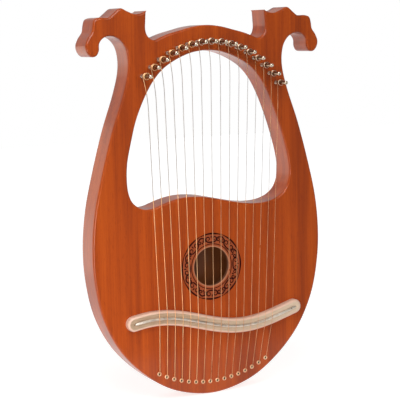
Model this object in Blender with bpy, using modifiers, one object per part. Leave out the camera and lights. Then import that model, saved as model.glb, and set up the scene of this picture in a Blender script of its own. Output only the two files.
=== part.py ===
"""A 16-string lyre harp, upright, front towards -Y, in metres.

The origin is on the flat back, behind the sound chamber. Outline points are heights above the
lowest point of the body, in millimetres, and the empty that carries every piece lowers them.
"""

import math

import bmesh
import bpy
from mathutils import Vector

MM = 0.001

# Fits between pieces
SEAT_GAP = 0.0003

# Body boards, from the back face at y = 0 towards the front
BODY_THICKNESS = 0.029
BACK_BOARD_THICKNESS = 0.004
SOUNDBOARD_THICKNESS = 0.004
BOUT_WIDTH = 0.272
ORIGIN_HEIGHT = 0.118
OUTLINE_STEPS = 2

# Half of the outer edge, from the lowest point round the right side to the top of the crossbar.
# The points are (x, z) in millimetres where the lower bout is 272 wide, and a third value marks
# a corner. The scrolls at the ends of the arms reach a little past the bout.
OUTLINE_WIDTH = 272
OUTER_EDGE = (
    (0, 0), (44.5, 8.8), (77.5, 28.5), (107, 58.5), (126, 95), (134.6, 135), (136, 168),
    (132.3, 205), (123.5, 243), (110.5, 288), (97.6, 324), (91.8, 346), (91.2, 360),
    (94.4, 373), (101.6, 381), (109.7, 383.6), (117.2, 381.8), (121.8, 376.6), (122.6, 368.8),
    (125.8, 364), (131.2, 363.4), (135.6, 367.8), (137.1, 374), (134.4, 381.4), (129.8, 388),
    (128.6, 394.6), (126.4, 400.4), (120.6, 402.3), (111.4, 402.3), (106, 406), (98.2, 411.3),
    (90.4, 408.3), (82.8, 405.5), (75.8, 406), (69.6, 408.5, "corner"), (70.4, 398),
    (70.6, 389.2), (68.2, 383), (61.8, 379), (53.6, 381.8), (44.4, 385), (31, 388.4),
    (16.5, 391.8), (0, 393.4),
)

# The window between the arms, anticlockwise from the top of its arch, in the same units.
# Its foot is a wave.
WINDOW_EDGE = (
    (0, 367.2), (-15, 365.8), (-28.5, 361.8), (-41, 356), (-51.8, 349), (-62.3, 338.2),
    (-72.8, 321.8), (-83.6, 298), (-90.3, 274), (-94.6, 254.6), (-95.6, 238), (-94.2, 224),
    (-90.4, 214.6), (-84, 208.8), (-75.8, 205.6), (-67, 206), (-58.5, 208.6), (-48, 211.8),
    (-36.5, 214.1), (-25, 214.9), (-7, 213.6), (8, 210.6), (24.7, 206.8), (40.3, 203.6),
    (56.1, 202), (71.5, 202.9), (84.3, 207.2), (93, 214.3), (97.8, 224.8), (98.8, 236),
    (97.4, 249), (92.6, 268), (84.8, 292), (72.4, 321.6), (62.2, 338.3), (51.8, 349),
    (41, 356), (28.5, 361.8), (15, 365.8),
)

# Right half of the hollow in the core under the soundboard
CHAMBER_TOP = 0.1905
CHAMBER_EDGE = (
    (0, 40), (45, 46), (78, 62), (102, 86), (115, 114), (121.5, 142), (123, 167),
    (117, 185), (100, 190.5), (50, 190), (0, 190.5),
)

# Sound hole
SOUND_HOLE_HEIGHT = 0.1386
SOUND_HOLE_RADIUS = 0.0208
SOUND_HOLE_SIDES = 24

# Braces glued inside the soundboard, each a share of the way from the sound hole's edge to
# the chamber's top, above the hole and as far below it
BRACE_LENGTH = 0.196
BRACE_WIDTH = 0.006
BRACE_DEPTH = 0.008
BRACE_END_TAPER = 0.030
BRACE_END_DEPTH = 0.003
BRACE_SHARE = 0.386

# Strings
STRING_COUNT = 16
BASS_STRING_DIAMETER = 0.0007
TREBLE_STRING_DIAMETER = 0.0004
STRING_SIDES_RESOLUTION = 1
BALL_RADIUS = 0.0019
BALL_RECESS = 0.0004
STRING_HOLE_RADIUS = 0.0013
BALL_HOLE_RADIUS = 0.0024
SMALL_HOLE_SIDES = 6

# Brass eyelets, on an arc above the lower edge
EYELET_SPACING = 0.00865
EYELET_ARC_RADIUS = 0.136
EYELET_LOWEST = 0.0136
EYELET_BORE_RADIUS = 0.00095
EYELET_BARREL_RADIUS = 0.0015
EYELET_BARREL_LENGTH = 0.0036
EYELET_FLANGE_RADIUS = 0.0023
EYELET_FLANGE_THICKNESS = 0.0005
EYELET_SIDES = 8

# Bridge: a strip whose centre line is a sine wave, and the rod along its groove
BRIDGE_LEFT_END = -0.0942
BRIDGE_RIGHT_END = 0.1002
BRIDGE_MEAN_HEIGHT = 0.0810
BRIDGE_WAVE_HEIGHT = 0.0097
BRIDGE_WAVE_LENGTH = 0.210
BRIDGE_WAVE_SHIFT = -0.0159
BRIDGE_WIDTH = 0.0156
BRIDGE_THICKNESS = 0.0065
BRIDGE_STEPS = 16
BRIDGE_END_STEPS = 4
BRIDGE_EDGE_RADIUS = 0.0025
SADDLE_ROD_RADIUS = 0.0014
SADDLE_ROD_SUNK = 0.0011
SADDLE_SPACING = 0.0091
SADDLE_CENTRE = 0.0011

# Tuning pins, at equal angles along an arch between the window and the crossbar's top
PIN_ARCH_CENTRE = -0.0018
PIN_ARCH_SPRING_HEIGHT = 0.237
PIN_ARCH_HALF_SPAN = 0.1142
PIN_ARCH_RISE = 0.1396
FIRST_PIN_DEGREES = 130.8
LAST_PIN_DEGREES = 42.3
PIN_RADIUS = 0.0021
PIN_STICKS_OUT = 0.022
PIN_STOPS_SHORT_OF_BACK_BOARD = 0.002
PIN_CLEARANCE = 0.0003
PIN_SIDES = 10
PIN_HOLE_SIDES = 8
PIN_HEAD_LENGTH = 0.0060
PIN_HEAD_HALF_WIDTH = 0.0020
PIN_HEAD_SQUARENESS = 2.6
PIN_HEAD_STEP = 0.0002
PIN_CHAMFER = 0.0005

# A wire keeps a bend below its pin, more of it the thicker the wire. The bend's place is measured
# from the pin's axis
BEND_BELOW_PIN = 0.022
BASS_BEND_ACROSS = 0.0017
TREBLE_BEND_ACROSS = -0.0032

# The string's first bend round its pin, and its turns in front of that, which turn with the pin
WINDING_TURNS = 2.6
WINDING_POINTS_A_TURN = 9
WINDING_CLEARANCE = 0.0008
WINDING_TURN_GAP = 0.0003
WRAP_DEGREES = 240
WRAP_STEP_DEGREES = 40

# Depths that follow from the sizes above
BACK_OF_CORE = -(BACK_BOARD_THICKNESS + SEAT_GAP)
FRONT_FACE = -BODY_THICKNESS
BACK_OF_SOUNDBOARD = FRONT_FACE + SOUNDBOARD_THICKNESS
FRONT_OF_CORE = BACK_OF_SOUNDBOARD + SEAT_GAP
BACK_OF_BRIDGE = FRONT_FACE - SEAT_GAP
FRONT_OF_BRIDGE = BACK_OF_BRIDGE - BRIDGE_THICKNESS
SADDLE_ROD_DEPTH = FRONT_OF_BRIDGE + SADDLE_ROD_SUNK - SADDLE_ROD_RADIUS
EYELET_FACE = FRONT_FACE - SEAT_GAP - EYELET_FLANGE_THICKNESS


def clear_scene():
    """Removes the objects of the startup scene."""
    for obj in list(bpy.data.objects):
        bpy.data.objects.remove(obj, do_unlink=True)


def new_material(name, colour, roughness, metallic):
    """A Principled material from a linear colour."""
    material = bpy.data.materials.new(name)
    material.use_nodes = True
    shader = material.node_tree.nodes["Principled BSDF"]
    shader.inputs["Base Color"].default_value = (*colour, 1)
    shader.inputs["Roughness"].default_value = roughness
    shader.inputs["Metallic"].default_value = metallic
    return material


def add_object(name, data, collection, parent, material):
    """Links a new object for the data, with its parent and its material."""
    obj = bpy.data.objects.new(name, data)
    collection.objects.link(obj)
    obj.parent = parent
    if material:
        data.materials.append(material)
    return obj


def between(a, b, t_a, t_b, t):
    """The point at t on the line that passes a at t_a and b at t_b."""
    return a * ((t_b - t) / (t_b - t_a)) + b * ((t - t_a) / (t_b - t_a))


def span_points(before, start, end, after, steps):
    """Points from start towards end on a centripetal Catmull-Rom curve."""
    t = [0.0]
    for a, b in ((before, start), (start, end), (end, after)):
        t.append(t[-1] + math.sqrt((b - a).length))
    points = []
    for step in range(steps):
        at = t[1] + (t[2] - t[1]) * step / steps
        low = between(before, start, t[0], t[1], at)
        middle = between(start, end, t[1], t[2], at)
        high = between(end, after, t[2], t[3], at)
        first = between(low, middle, t[0], t[2], at)
        second = between(middle, high, t[1], t[3], at)
        points.append(between(first, second, t[1], t[2], at))
    return points


def smooth_loop(points, steps):
    """A closed smooth curve through the points, broken at those marked as corners."""
    places = [Vector(point[:2]) for point in points]
    corners = [len(point) > 2 for point in points]
    count = len(places)
    loop = []
    for i in range(count):
        start, end = places[i], places[(i + 1) % count]
        before = 2 * start - end if corners[i] else places[i - 1]
        after = 2 * end - start if corners[(i + 1) % count] else places[(i + 2) % count]
        loop += span_points(before, start, end, after, steps)
    return loop


def mirrored(half):
    """The right half of an edge, then its left half, from one end on the middle line."""
    left = [(-point[0], *point[1:]) for point in reversed(half[1:-1])]
    return [*half, *left]


def body_loop(points, steps):
    """An edge of the body in metres, from points on a body OUTLINE_WIDTH wide."""
    across = BOUT_WIDTH / (OUTLINE_WIDTH * MM)
    return [Vector((p.x * across, p.y)) * MM for p in smooth_loop(points, steps)]


def circle_loop(centre, radius, sides):
    """The corners of a regular polygon round a hole's circle, whose sides touch the circle."""
    turn = 2 * math.pi / sides
    reach = radius / math.cos(turn / 2)
    return [
        centre + reach * Vector((math.cos(turn * (i + 0.5)), math.sin(turn * (i + 0.5))))
        for i in range(sides)
    ]


def add_plate(name, loops, back, front, context):
    """A board between two depths. The first loop is its edge, and the others are holes."""
    curve = bpy.data.curves.new(name, "CURVE")
    curve.dimensions = "2D"
    curve.fill_mode = "BOTH"
    curve.extrude = (back - front) / 2
    for loop in loops:
        spline = curve.splines.new("POLY")
        spline.points.add(len(loop) - 1)
        for point, place in zip(spline.points, loop):
            point.co = (place.x, place.y, 0, 1)
        spline.use_cyclic_u = True
    plate = add_object(name, curve, *context)
    plate.rotation_euler.x = math.pi / 2
    plate.location.y = (back + front) / 2
    return plate


def add_tube(name, points, radius, context, resolution, radii=None):
    """A round tube with flat ends through the points, with a radius factor at each."""
    curve = bpy.data.curves.new(name, "CURVE")
    curve.dimensions = "3D"
    curve.bevel_depth = radius
    curve.bevel_resolution = resolution
    curve.use_fill_caps = True
    spline = curve.splines.new("POLY")
    spline.points.add(len(points) - 1)
    for i, (point, place) in enumerate(zip(spline.points, points)):
        point.co = (*place, 1)
        point.radius = radii[i] if radii else 1
    return add_object(name, curve, *context)


def as_mesh(curve_object):
    """Replaces a curve object with a mesh object of the same name and place."""
    name = curve_object.name
    graph = bpy.context.evaluated_depsgraph_get()
    mesh = bpy.data.meshes.new_from_object(curve_object.evaluated_get(graph))
    made = bpy.data.objects.new(name + "_mesh", mesh)
    for collection in curve_object.users_collection:
        collection.objects.link(made)
    made.parent = curve_object.parent
    made.matrix_basis = curve_object.matrix_basis.copy()
    bpy.data.objects.remove(curve_object, do_unlink=True)
    shape = bmesh.new()
    shape.from_mesh(mesh)
    bmesh.ops.remove_doubles(shape, verts=shape.verts, dist=1e-6)
    bmesh.ops.recalc_face_normals(shape, faces=shape.faces)
    shape.to_mesh(mesh)
    shape.free()
    made.name = name
    return made


def add_boolean(obj, other, operation):
    """Joins or cuts with another mesh object, which is only a guide from then on."""
    modifier = obj.modifiers.new(operation.lower(), "BOOLEAN")
    modifier.operation = operation
    modifier.solver = "EXACT"
    modifier.object = other
    other.hide_render = True
    other.display_type = "WIRE"


def eyelet_place(index):
    """The (x, z) of a string's eyelet on its arc."""
    x = (index - (STRING_COUNT - 1) / 2) * EYELET_SPACING
    rise = EYELET_ARC_RADIUS - math.sqrt(EYELET_ARC_RADIUS**2 - x**2)
    return Vector((x, EYELET_LOWEST + rise))


def bridge_height(x):
    """The height of the bridge's wavy centre line."""
    phase = 2 * math.pi * (x - BRIDGE_WAVE_SHIFT) / BRIDGE_WAVE_LENGTH
    return BRIDGE_MEAN_HEIGHT - BRIDGE_WAVE_HEIGHT * math.sin(phase)


def bridge_side(x):
    """The unit normal of the bridge's centre line, pointing up."""
    phase = 2 * math.pi * (x - BRIDGE_WAVE_SHIFT) / BRIDGE_WAVE_LENGTH
    rate = 2 * math.pi / BRIDGE_WAVE_LENGTH
    slope = -BRIDGE_WAVE_HEIGHT * rate * math.cos(phase)
    return Vector((-slope, 1)).normalized()


def bridge_line(steps):
    """Points along the bridge's centre line."""
    length = BRIDGE_RIGHT_END - BRIDGE_LEFT_END
    xs = [BRIDGE_LEFT_END + length * i / steps for i in range(steps + 1)]
    return [Vector((x, bridge_height(x))) for x in xs]


def pin_place(index):
    """The (x, z) of a pin on an elliptical arch."""
    share = index / (STRING_COUNT - 1)
    angle = math.radians(FIRST_PIN_DEGREES + (LAST_PIN_DEGREES - FIRST_PIN_DEGREES) * share)
    across = PIN_ARCH_CENTRE + PIN_ARCH_HALF_SPAN * math.cos(angle)
    return Vector((across, PIN_ARCH_SPRING_HEIGHT + PIN_ARCH_RISE * math.sin(angle)))


def string_diameter(index):
    """The strings thin evenly from the bass on the left to the treble on the right."""
    share = index / (STRING_COUNT - 1)
    return BASS_STRING_DIAMETER + (TREBLE_STRING_DIAMETER - BASS_STRING_DIAMETER) * share


def string_depth(index):
    """The depth at which a string crosses the rod and meets its pin."""
    return SADDLE_ROD_DEPTH - SADDLE_ROD_RADIUS - SEAT_GAP - string_diameter(index) / 2


def winding_radius(index):
    """From the pin's axis to the middle of the wire that goes round it."""
    return PIN_RADIUS + WINDING_CLEARANCE + string_diameter(index) / 2


def around_pin(pin, radius, degrees, y):
    """A point beside a pin: 0 degrees is its left side, and the angle grows over its top."""
    angle = math.radians(degrees)
    return Vector((pin.x - radius * math.cos(angle), y, pin.y + radius * math.sin(angle)))


def add_boards(context):
    """The core, the soundboard and the back board, which share one outline and window."""
    outer = body_loop(mirrored(OUTER_EDGE), OUTLINE_STEPS)
    window = body_loop(WINDOW_EDGE, OUTLINE_STEPS)
    chamber = body_loop(mirrored(CHAMBER_EDGE), OUTLINE_STEPS)
    eyelets = [eyelet_place(i) for i in range(STRING_COUNT)]
    pins = [pin_place(i) for i in range(STRING_COUNT)]

    def holes(places, radius, sides):
        return [circle_loop(place, radius, sides) for place in places]

    pin_holes = holes(pins, PIN_RADIUS + PIN_CLEARANCE, PIN_HOLE_SIDES)
    core_holes = holes(eyelets, STRING_HOLE_RADIUS, SMALL_HOLE_SIDES)
    add_plate(
        "body_frame", [outer, window, chamber, *pin_holes, *core_holes],
        BACK_OF_CORE, FRONT_OF_CORE, context,
    )
    sound_hole = circle_loop(Vector((0, SOUND_HOLE_HEIGHT)), SOUND_HOLE_RADIUS, SOUND_HOLE_SIDES)
    barrel_holes = holes(eyelets, EYELET_BARREL_RADIUS + SEAT_GAP, EYELET_SIDES)
    add_plate(
        "soundboard", [outer, window, sound_hole, *pin_holes, *barrel_holes],
        BACK_OF_SOUNDBOARD, FRONT_FACE, context,
    )
    ball_holes = holes(eyelets, BALL_HOLE_RADIUS, SMALL_HOLE_SIDES)
    add_plate("back_board", [outer, window, *ball_holes], 0, BACK_OF_CORE + SEAT_GAP, context)


def add_brace(name, height, context):
    """A bar across the inside of the soundboard, thinned towards both ends."""
    half = BRACE_LENGTH / 2
    glued = BACK_OF_SOUNDBOARD + SEAT_GAP
    curve = bpy.data.curves.new(name, "CURVE")
    curve.dimensions = "2D"
    curve.fill_mode = "BOTH"
    curve.extrude = BRACE_WIDTH / 2
    corners = (
        (-half, glued), (half, glued), (half, glued + BRACE_END_DEPTH),
        (half - BRACE_END_TAPER, glued + BRACE_DEPTH),
        (-half + BRACE_END_TAPER, glued + BRACE_DEPTH), (-half, glued + BRACE_END_DEPTH),
    )
    spline = curve.splines.new("POLY")
    spline.points.add(len(corners) - 1)
    for point, corner in zip(spline.points, corners):
        point.co = (*corner, 0, 1)
    spline.use_cyclic_u = True
    brace = add_object(name, curve, *context)
    brace.location.z = height
    return brace


def bridge_outline(inset):
    """The strip's edge seen from the front, moved in by inset, with round ends."""
    line = bridge_line(BRIDGE_STEPS)
    reach = BRIDGE_WIDTH / 2 - inset
    upper = [point + bridge_side(point.x) * reach for point in line]
    lower = [point - bridge_side(point.x) * reach for point in line]
    loop = list(reversed(upper))
    for end, first_side in ((line[0], 1), (line[-1], -1)):
        side = bridge_side(end.x) * first_side
        start = math.atan2(side.y, side.x)
        for step in range(1, BRIDGE_END_STEPS):
            angle = start + math.pi * step / BRIDGE_END_STEPS
            loop.append(end + Vector((math.cos(angle), math.sin(angle))) * reach)
        if first_side == 1:
            loop += lower
    return loop


def loft(name, rings, context):
    """A closed solid through rings of points, with flat ends."""
    shape = bmesh.new()
    rows = [[shape.verts.new(point) for point in ring] for ring in rings]
    sides = len(rows[0])
    for below, above in zip(rows, rows[1:]):
        for i in range(sides):
            following = (i + 1) % sides
            shape.faces.new((below[i], below[following], above[following], above[i]))
    shape.faces.new(rows[0])
    shape.faces.new(rows[-1])
    bmesh.ops.recalc_face_normals(shape, faces=shape.faces)
    mesh = bpy.data.meshes.new(name)
    shape.to_mesh(mesh)
    shape.free()
    return add_object(name, mesh, *context)


def rod_points(depth):
    """The rod's centre line at a depth."""
    return [Vector((p.x, depth, p.y)) for p in bridge_line(BRIDGE_STEPS)]


def add_bridge(context, rod_context, guides):
    """The strip with its rounded front edges and its groove, and the rod in the groove."""
    levels = (
        (BACK_OF_BRIDGE, 0),
        (FRONT_OF_BRIDGE + BRIDGE_EDGE_RADIUS, 0),
        (FRONT_OF_BRIDGE + BRIDGE_EDGE_RADIUS * (1 - math.sqrt(0.5)),
         BRIDGE_EDGE_RADIUS * (1 - math.sqrt(0.5))),
        (FRONT_OF_BRIDGE, BRIDGE_EDGE_RADIUS),
    )
    rings = [[Vector((p.x, y, p.y)) for p in bridge_outline(inset)] for y, inset in levels]
    bridge = loft("bridge", rings, context)
    groove_points = rod_points(SADDLE_ROD_DEPTH)
    overrun = (groove_points[1] - groove_points[0]).normalized() * SEAT_GAP
    groove_points[0] = groove_points[0] - overrun
    overrun = (groove_points[-1] - groove_points[-2]).normalized() * SEAT_GAP
    groove_points[-1] = groove_points[-1] + overrun
    groove = add_tube(
        "groove_cutter", groove_points, SADDLE_ROD_RADIUS + SEAT_GAP,
        (guides, context[1], None), STRING_SIDES_RESOLUTION,
    )
    add_boolean(bridge, as_mesh(groove), "DIFFERENCE")
    add_tube(
        "saddle_rod", rod_points(SADDLE_ROD_DEPTH), SADDLE_ROD_RADIUS,
        rod_context, STRING_SIDES_RESOLUTION,
    )


def add_eyelet(index, context):
    """A turned brass liner with a flange on the front face."""
    place = eyelet_place(index)
    profile = (
        (EYELET_FLANGE_RADIUS, EYELET_FLANGE_THICKNESS), (EYELET_FLANGE_RADIUS, 0),
        (EYELET_BARREL_RADIUS, 0), (EYELET_BARREL_RADIUS, -EYELET_BARREL_LENGTH),
        (EYELET_BORE_RADIUS, -EYELET_BARREL_LENGTH),
        (EYELET_BORE_RADIUS, EYELET_FLANGE_THICKNESS),
    )
    mesh = bpy.data.meshes.new(f"eyelet_{index + 1:02d}")
    count = len(profile)
    edges = [(i, (i + 1) % count) for i in range(count)]
    mesh.from_pydata([(r, 0, h) for r, h in profile], edges, [])
    eyelet = add_object(mesh.name, mesh, *context)
    eyelet.location = (place.x, FRONT_FACE - SEAT_GAP, place.y)
    eyelet.rotation_euler.x = math.pi / 2
    screw = eyelet.modifiers.new("turned", "SCREW")
    screw.steps = EYELET_SIDES
    screw.render_steps = EYELET_SIDES
    screw.use_merge_vertices = True
    screw.merge_threshold = 0.00001


def pin_ring(pin, y, half_width, squareness):
    """A ring round a pin's axis; 2 makes it round, and more makes it square."""
    ring = []
    for i in range(PIN_SIDES):
        angle = 2 * math.pi * i / PIN_SIDES
        across, up = math.cos(angle), math.sin(angle)
        spread = (abs(across) ** squareness + abs(up) ** squareness) ** (1 / squareness)
        reach = half_width / spread
        ring.append(Vector((pin.x + across * reach, y, pin.y + up * reach)))
    return ring


def winding_points(index, pin):
    """The wire's turns, from one pitch in front of the string to the hole through the pin."""
    pitch = string_diameter(index) + WINDING_TURN_GAP
    first_depth = string_depth(index) - pitch
    count = round(WINDING_TURNS * WINDING_POINTS_A_TURN)
    step_degrees = 360 / WINDING_POINTS_A_TURN
    radius = winding_radius(index)
    turns = [
        around_pin(pin, radius, n * step_degrees, first_depth - pitch * n / WINDING_POINTS_A_TURN)
        for n in range(count + 1)
    ]
    inside_degrees = (count + 2) * step_degrees
    return [*turns, around_pin(pin, PIN_RADIUS / 3, inside_degrees, turns[-1].y)]


def least_turn_gap(points, diameter):
    """The least gap from a winding's wire to itself, between points over half a turn apart."""
    apart = WINDING_POINTS_A_TURN // 2 + 1
    turns = points[:-1]
    gaps = [(a - b).length for i, a in enumerate(turns) for b in turns[i + apart :]]
    return min(gaps) - diameter


def add_tuning_pin(index, pin, context, wire_material, guides):
    """A pin with a round shaft and a square head for the key, and the string wound on it."""
    inner = BACK_OF_CORE - PIN_STOPS_SHORT_OF_BACK_BOARD
    outer = FRONT_FACE - PIN_STICKS_OUT
    head = outer + PIN_HEAD_LENGTH
    rings = (
        pin_ring(pin, inner, PIN_RADIUS - PIN_CHAMFER, 2),
        pin_ring(pin, inner - PIN_CHAMFER, PIN_RADIUS, 2),
        pin_ring(pin, head, PIN_RADIUS, 2),
        pin_ring(pin, head - PIN_HEAD_STEP, PIN_HEAD_HALF_WIDTH, PIN_HEAD_SQUARENESS),
        pin_ring(pin, outer + PIN_CHAMFER, PIN_HEAD_HALF_WIDTH, PIN_HEAD_SQUARENESS),
        pin_ring(pin, outer, PIN_HEAD_HALF_WIDTH - PIN_CHAMFER, PIN_HEAD_SQUARENESS),
    )
    shaft = loft(f"tuning_pin_{index + 1:02d}", rings, context)
    points = winding_points(index, pin)
    diameter = string_diameter(index)
    wire = add_tube(
        f"winding_guide_{index + 1:02d}", points, diameter / 2,
        (guides, context[1], wire_material), STRING_SIDES_RESOLUTION,
    )
    add_boolean(shaft, as_mesh(wire), "UNION")
    return least_turn_gap(points, diameter)


def bend_place(index, pin):
    """Where the wire keeps a bend, below its pin."""
    share = index / (STRING_COUNT - 1)
    across = BASS_BEND_ACROSS + (TREBLE_BEND_ACROSS - BASS_BEND_ACROSS) * share
    return Vector((pin.x + across, string_depth(index), pin.y - BEND_BELOW_PIN))


def string_points(index, pin):
    """The route of a string: ball end, hole, eyelet, rod, bend, pin. Radius factors follow."""
    radius = string_diameter(index) / 2
    hole = eyelet_place(index)
    depth = string_depth(index)
    ball = BALL_RADIUS / radius
    ball_back = -BALL_RECESS
    route = [
        (Vector((hole.x, ball_back, hole.y)), ball * 0.6),
        (Vector((hole.x, ball_back - BALL_RADIUS * 0.5, hole.y)), ball),
        (Vector((hole.x, ball_back - BALL_RADIUS * 1.3, hole.y)), ball),
        (Vector((hole.x, ball_back - BALL_RADIUS * 1.7, hole.y)), ball * 0.55),
        (Vector((hole.x, BACK_OF_CORE, hole.y)), 1),
    ]
    mouth = Vector((hole.x, EYELET_FACE - SEAT_GAP - radius, hole.y))
    rod_x = SADDLE_CENTRE + (index - (STRING_COUNT - 1) / 2) * SADDLE_SPACING
    crossing = Vector((rod_x, depth, bridge_height(rod_x)))
    rising = (crossing - mouth).normalized()
    bend = radius * 2
    route.append((mouth + Vector((0, bend, 0)), 1))
    route.append((mouth + rising * bend, 1))
    kept = bend_place(index, pin)
    upwards = (kept - crossing).normalized()
    towards = Vector((pin.x - kept.x, pin.y - kept.z))
    turn = math.asin(winding_radius(index) / towards.length)
    direction = Vector((
        towards.x * math.cos(turn) - towards.y * math.sin(turn),
        towards.x * math.sin(turn) + towards.y * math.cos(turn),
    )).normalized()
    route.append((crossing - rising * bend, 1))
    route.append((crossing + upwards * bend, 1))
    route.append((kept, 1))
    tangent = 90 - math.degrees(math.atan2(direction.y, direction.x))
    for step in range(WRAP_DEGREES // WRAP_STEP_DEGREES + 1):
        degrees = tangent + step * WRAP_STEP_DEGREES
        route.append((around_pin(pin, winding_radius(index), degrees, depth), 1))
    return route


def add_string(index, pin, context):
    """A taut steel string, made whole from its ball end to the pin."""
    route = string_points(index, pin)
    places = [place for place, _ in route]
    factors = [factor for _, factor in route]
    add_tube(
        f"string_{index + 1:02d}", places, string_diameter(index) / 2, context,
        STRING_SIDES_RESOLUTION, factors,
    )


def build():
    """Makes every piece of the harp."""
    clear_scene()
    harp = bpy.data.collections.new("lyre_harp")
    guides = bpy.data.collections.new("guides")
    for collection in (harp, guides):
        bpy.context.scene.collection.children.link(collection)
    base = bpy.data.objects.new("body_base", None)
    harp.objects.link(base)
    base.location.z = -ORIGIN_HEIGHT

    mahogany = new_material("mahogany", (0.43, 0.08, 0.014), 0.35, 0)
    spruce = new_material("spruce", (0.62, 0.42, 0.22), 0.6, 0)
    maple = new_material("maple", (0.62, 0.48, 0.32), 0.35, 0)
    nickel_silver = new_material("nickel_silver", (0.75, 0.72, 0.66), 0.25, 1)
    brass = new_material("brass", (0.75, 0.55, 0.25), 0.3, 1)
    steel = new_material("steel", (0.68, 0.66, 0.62), 0.25, 1)

    add_boards((harp, base, mahogany))
    above_hole = CHAMBER_TOP - SOUND_HOLE_HEIGHT - SOUND_HOLE_RADIUS
    reach = SOUND_HOLE_RADIUS + above_hole * BRACE_SHARE
    add_brace("upper_brace", SOUND_HOLE_HEIGHT + reach, (harp, base, spruce))
    add_brace("lower_brace", SOUND_HOLE_HEIGHT - reach, (harp, base, spruce))
    add_bridge((harp, base, maple), (harp, base, nickel_silver), guides)
    gaps = []
    for index in range(STRING_COUNT):
        pin = pin_place(index)
        add_eyelet(index, (harp, base, brass))
        gaps.append(add_tuning_pin(index, pin, (harp, base, steel), steel, guides))
        add_string(index, pin, (harp, base, steel))
    print(f"least gap from a winding to itself: {min(gaps) * 1000:.2f} mm")


build()
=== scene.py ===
# %% [markdown]
# # Dressing a lyre harp
#
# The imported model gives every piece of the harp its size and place. This notebook lays the
# finish over it: a varnished mahogany body with a burnt scroll ring, a pale wavy bridge, plated
# tuning pins with their coils of wire, and sixteen strings that run back to brass eyelets.
# Each cell makes one kind of piece or one finish, and the longer ones print what they made.

import bmesh
import bpy
import numpy as np
from mathutils import Matrix, Vector, geometry


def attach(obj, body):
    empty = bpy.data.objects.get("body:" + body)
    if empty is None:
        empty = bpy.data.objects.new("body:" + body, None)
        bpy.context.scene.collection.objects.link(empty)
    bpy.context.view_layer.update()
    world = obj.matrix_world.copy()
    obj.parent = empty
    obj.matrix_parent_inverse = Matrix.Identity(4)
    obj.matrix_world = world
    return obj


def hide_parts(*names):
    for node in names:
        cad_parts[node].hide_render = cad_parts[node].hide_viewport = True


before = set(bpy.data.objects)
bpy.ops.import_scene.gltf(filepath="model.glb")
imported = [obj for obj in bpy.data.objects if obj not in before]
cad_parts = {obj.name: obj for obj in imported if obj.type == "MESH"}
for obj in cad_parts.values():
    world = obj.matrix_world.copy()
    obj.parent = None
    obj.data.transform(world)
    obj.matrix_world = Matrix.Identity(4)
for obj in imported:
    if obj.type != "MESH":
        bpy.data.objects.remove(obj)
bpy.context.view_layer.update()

MM = 0.001

# %% [markdown]
# ## Helpers
#
# Colours are written as they look on a screen, in hex, and a renderer works in linear light, so
# one function converts them. Another adds a node to a material and links it in the same call, and
# three short ones add the nodes that come up most. One turns whole arrays of corners and faces
# into a mesh, which is far quicker than adding vertices one by one. A number stored at each
# vertex lets a material tell one region of a piece from another.

# %% Colour, node and mesh helpers
MERGE_DISTANCE = 1e-6
SLIVER = 1e-7
SHARP_ANGLE = 38


def linear(hex_colour):
    """An sRGB hex colour as a linear RGBA tuple."""
    value = np.array([int(hex_colour[i : i + 2], 16) for i in (1, 3, 5)]) / 255
    value = np.where(value <= 0.04045, value / 12.92, ((value + 0.055) / 1.055) ** 2.4)
    return (*value.tolist(), 1.0)


def add_node(tree, kind, settings=None, inputs=None, stops=None):
    """Adds a node. An input that is an output of another node is linked, else it is a value."""
    node = tree.nodes.new(kind)
    for name, value in (settings or {}).items():
        setattr(node, name, value)
    for key, value in (inputs or {}).items():
        if isinstance(value, bpy.types.NodeSocket):
            tree.links.new(value, node.inputs[key])
        else:
            node.inputs[key].default_value = value
    if stops:
        ramp = node.color_ramp
        while len(ramp.elements) < len(stops):
            ramp.elements.new(1.0)
        for element, (place, colour) in zip(ramp.elements, stops):
            element.position = place
            element.color = linear(colour)
    return node


def mapped_range(tree, value, span, result, smooth=False):
    """A value taken from one span to another, in a straight line or a smooth step."""
    return add_node(
        tree, "ShaderNodeMapRange", {"interpolation_type": "SMOOTHSTEP" if smooth else "LINEAR"},
        {"Value": value, "From Min": span[0], "From Max": span[1],
         "To Min": result[0], "To Max": result[1]},
    ).outputs["Result"]


def mixed_colour(tree, share, colour, shade):
    """A colour mixed towards a shade, given in hex, by a share."""
    return add_node(
        tree, "ShaderNodeMix", {"data_type": "RGBA"}, {0: share, 6: colour, 7: linear(shade)},
    ).outputs[2]


def along_axis(tree, place, axis):
    """One coordinate of a place."""
    return add_node(tree, "ShaderNodeSeparateXYZ", None, {"Vector": place}).outputs[axis]


def new_material(name):
    """An empty material: its node tree, and its Principled shader."""
    material = bpy.data.materials.new(name)
    material.use_nodes = True
    shader = material.node_tree.nodes["Principled BSDF"]
    return material, material.node_tree, shader


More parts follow.
